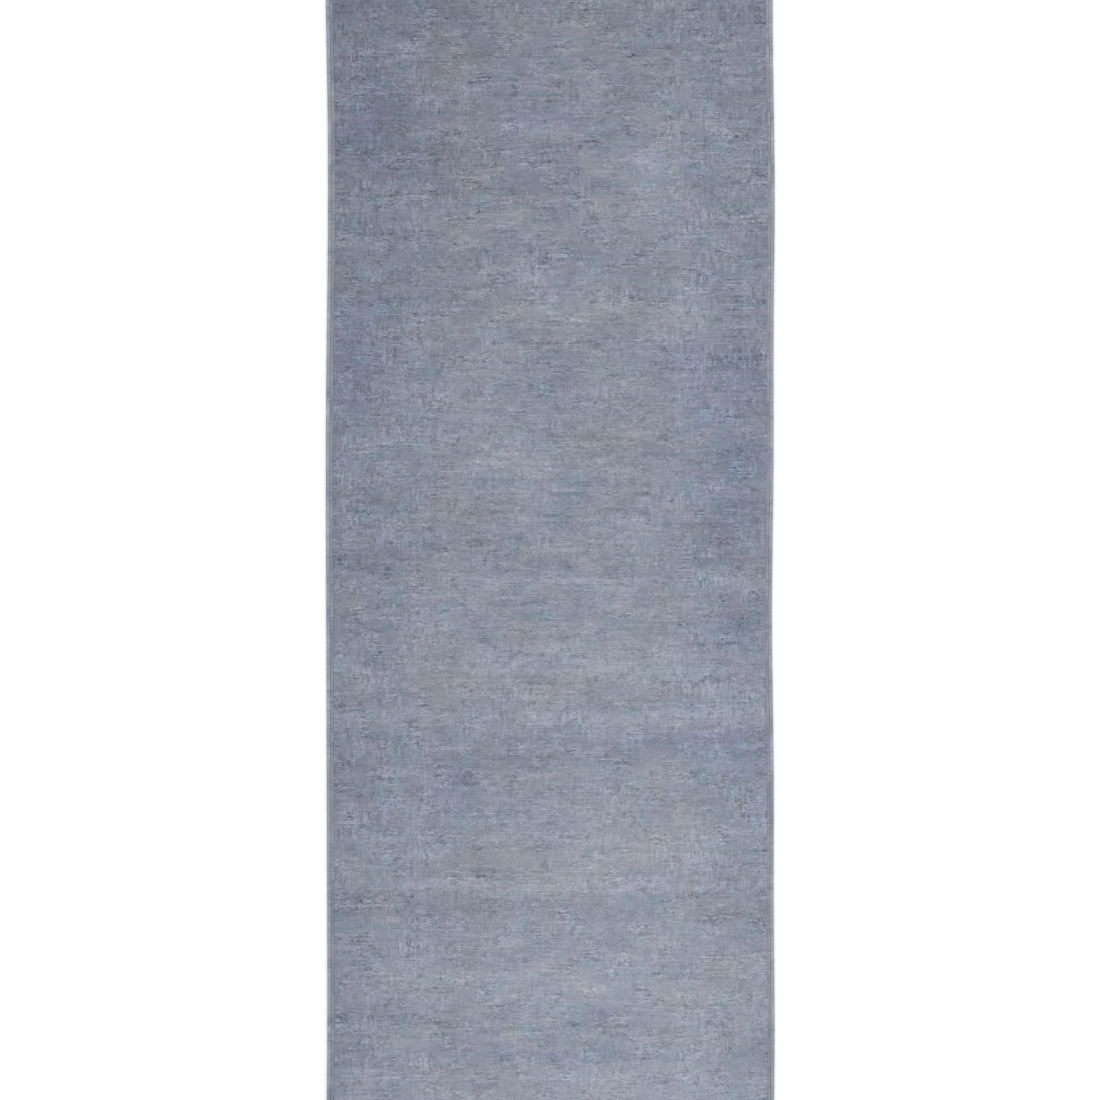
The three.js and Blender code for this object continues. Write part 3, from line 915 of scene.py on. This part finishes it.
TASSELS = 40
STRANDS = 9                   # in each tassel
STRAND_SIDES = 5
STRAND_RADIUS = 0.62 * MM
TIP_SHARE = 0.55              # a strand's radius at its tip, as a share of that
ROOT_LENGTH = 7 * MM          # from the kilim to the knot
KNOT_LENGTH = 8 * MM
KNOT_RADIUS = 3.0 * MM
KNOT_YARN = 1.05 * MM         # radius of each of the two loops that make the knot
TASSEL_PITCH = 2 * HALF_WIDTH / TASSELS
FLOOR_GAP = 0.02 * MM         # between the floor and the lowest strands
# How unevenly the tassels are made: the middle, the lean, the knot's place and the tip of each,
TASSEL_STRAY, TASSEL_LEAN, KNOT_STRAY, TIP_STRAY = 0.8 * MM, 2.5 * MM, 1.5 * MM, 5 * MM
# and each strand's curl, and how much of it is missing from the tip.
STRAND_CURL, STRAND_LOSS = 1.2 * MM, 6 * MM


def loose_strand(middle, lean, share, layer, knot_at, tip):
    """The path of one strand: in from the kilim, through the knot, and out over the floor."""
    curl = rng.normal(0, STRAND_CURL)
    end = tip - rng.uniform(0, STRAND_LOSS)
    # All the strands of a tassel are drawn together from the kilim to the knot, and then spread.
    t = np.array([0.0, 0.35, 0.8, 1.0])
    root = np.stack([
        middle + share * (0.94 * TASSEL_PITCH * (1 - t) ** 1.2 + 2.4 * MM * t),
        FRINGE_START + t * knot_at,
        1.5 * MM + (1.2 + 0.5 * layer) * MM * t], -1)
    u = np.linspace(0.0, 1.0, 8)[1:]
    tail_start = knot_at + KNOT_LENGTH * 0.5
    tail = np.stack([
        middle + lean * u + share * (3.0 + 8.0 * u) * MM + curl * u * u,
        FRINGE_START + tail_start + u * (end - tail_start),
        STRAND_RADIUS + (0.4 + 1.3 * layer) * MM * (1 - u) ** 1.5], -1)
    return np.concatenate([root, tail])


def knot_loop(middle, at, hand):
    """The path of one turn of the knot, slanting round the bundle."""
    turns = np.linspace(0, 1, 13)
    angle = TURN * turns * hand + rng.uniform(0, TURN)
    slant = 0.30 + 0.22 * hand + 0.5 * (turns - 0.5) * hand
    return np.stack([
        middle + 0.78 * KNOT_RADIUS * np.cos(angle),
        FRINGE_START + at + KNOT_LENGTH * slant,
        0.72 * KNOT_RADIUS + 1.2 * STRAND_RADIUS + 0.62 * KNOT_RADIUS * np.sin(angle)], -1)


def rings_round(path, radii):
    """Rings of points square to a path."""
    ahead = np.gradient(path, axis=0)
    ahead /= np.linalg.norm(ahead, axis=1, keepdims=True)
    # Any fixed direction that the path never takes will do to measure the ring's own two from.
    other = np.array([0.0, 0.0, 1.0]) if abs(ahead[:, 1]).min() > 0.5 else np.array([0.0, 1.0, 0.0])
    up = np.cross(ahead, np.cross(other, ahead))
    up /= np.linalg.norm(up, axis=1, keepdims=True)
    side = np.cross(up, ahead)
    angles = np.arange(STRAND_SIDES) * TURN / STRAND_SIDES
    ring = np.cos(angles)[None, :, None] * side[:, None] + np.sin(angles)[None, :, None] * up[:, None]
    rings = path[:, None] + radii[:, None, None] * ring
    rings[..., 2] = np.maximum(rings[..., 2], FLOOR_GAP)
    return rings


def make_fringe(side, material):
    """Bundles of warp ends: each gathers from the kilim, is tied in a knot, and hangs out loose."""
    mirrored = side == "near"
    length = FRINGE_TIP - FRINGE_START
    tubes = []
    for tassel in range(TASSELS):
        middle = (tassel + 0.5) * TASSEL_PITCH - HALF_WIDTH + rng.normal(0, TASSEL_STRAY)
        lean = rng.normal(0, TASSEL_LEAN)
        knot_at = ROOT_LENGTH + rng.uniform(0, KNOT_STRAY)
        tip = length - rng.uniform(0, TIP_STRAY)
        for strand in range(STRANDS):
            share = (strand + 0.5) / STRANDS - 0.5
            path = loose_strand(middle, lean, share, strand % 3, knot_at, tip)
            radii = np.full(len(path), STRAND_RADIUS)
            radii[-1] *= TIP_SHARE
            tubes.append(rings_round(path, radii))
        for hand in (-1, 1):
            path = knot_loop(middle, knot_at, hand)
            tubes.append(rings_round(path, np.full(len(path), KNOT_YARN)))
    faces, count = [], 0
    for tube in tubes:
        faces += turned_over(tube_faces(len(tube), STRAND_SIDES, count), mirrored)
        count += tube.shape[0] * tube.shape[1]
    points = np.concatenate([tube.reshape(-1, 3) for tube in tubes])
    points[:, 1] *= -1 if mirrored else 1
    return add_piece(f"warp_tassels_{side}", points, faces, material, "warp_fringe", f"fringe_{side}")


# ---------- floor, light and camera

FLOOR_REACH = 200.0           # so far that no view shows the floor's end
FLOOR_DROP = 0.05 * MM        # keeps it from touching the rug
AMBIENT_COLOUR = (0.985, 0.99, 1.0, 1.0)
AMBIENT_STRENGTH = 0.66
SOFTBOX_WIDTH, SOFTBOX_LENGTH = 2.6, 5.0
SOFTBOX_HEIGHT = 4.4
# Each softbox's place across and along the rug, and its power in watts.
SOFTBOXES = {"softbox_left": (-3.0, 0.6, 70.0), "softbox_right": (3.0, 0.2, 90.0)}
VIEW_WIDTH = 1.9683           # how much of the floor is in view from side to side
LENS = 200.0                  # in millimetres, as the sensor's width is
SENSOR_WIDTH = 36.0


def matt_white_paint():
    """Matt wall paint on a studio floor, which glows faintly so that it stays white by the rug."""
    material, _, _ = new_material("matt_white_paint", {
        "Base Color": srgb("#f3f4f6"),
        "Roughness": 0.9,
        "Specular IOR Level": 0.0,
        "Emission Color": srgb("#ffffff"),
        "Emission Strength": 0.16,
    })
    return material


def make_floor(material):
    """A plain studio floor, just under the rug."""
    near, far = -FLOOR_REACH, FLOOR_REACH
    corners = [(near, near, 0), (far, near, 0), (far, far, 0), (near, far, 0)]
    mesh = bpy.data.meshes.new("floor")
    mesh.from_pydata(corners, [], [(0, 1, 2, 3)])
    mesh.materials.append(material)
    floor = bpy.data.objects.new("floor", mesh)
    floor.location.z = -FLOOR_DROP
    bpy.context.scene.collection.objects.link(floor)


def make_softbox(name, x, y, power):
    """A big soft lamp that stands beside the rug, out of the camera's view, and faces its middle."""
    lamp = bpy.data.lights.new(name, "AREA")
    lamp.shape = "RECTANGLE"
    lamp.size, lamp.size_y = SOFTBOX_WIDTH, SOFTBOX_LENGTH
    lamp.energy = power
    softbox = bpy.data.objects.new(name, lamp)
    softbox.location = (x, y, SOFTBOX_HEIGHT)
    softbox.rotation_euler = (-softbox.location).to_track_quat("-Z", "Y").to_euler()
    bpy.context.scene.collection.objects.link(softbox)


def make_light():
    """Even light from all round, and a softbox on either side."""
    world = bpy.data.worlds.new("studio")
    bpy.context.scene.world = world
    world.use_nodes = True
    background = world.node_tree.nodes["Background"]
    background.inputs["Color"].default_value = AMBIENT_COLOUR
    background.inputs["Strength"].default_value = AMBIENT_STRENGTH
    for name, (x, y, power) in SOFTBOXES.items():
        make_softbox(name, x, y, power)


def make_camera():
    """Straight above the rug, far up with a long lens, so that nothing leans outwards."""
    data = bpy.data.cameras.new("camera")
    data.lens = LENS
    data.sensor_width = SENSOR_WIDTH
    data.clip_start, data.clip_end = 0.1, 100.0
    camera = bpy.data.objects.new("camera", data)
    camera.location = (0.0, 0.0, PILE_TOP + VIEW_WIDTH * LENS / SENSOR_WIDTH)
    bpy.context.scene.collection.objects.link(camera)
    bpy.context.scene.camera = camera


# ---------- the rug

pile = make_pile(overdyed_wool_pile())
foundation = make_foundation(dyed_cotton_ground())
wrap_wool, cord_cotton = overcast_wool(), plied_cotton_cord()
edges = [piece for side in ("left", "right") for piece in make_selvedge(side, wrap_wool, cord_cotton)]
kilim_wool, warp_cotton = flat_woven_wool(), dyed_cotton_warp_ends()
ends = [make_kilim(side, kilim_wool) for side in ("far", "near")]
ends += [make_fringe(side, warp_cotton) for side in ("far", "near")]

make_floor(matt_white_paint())
make_light()
make_camera()
bpy.context.scene.view_settings.view_transform = "Standard"
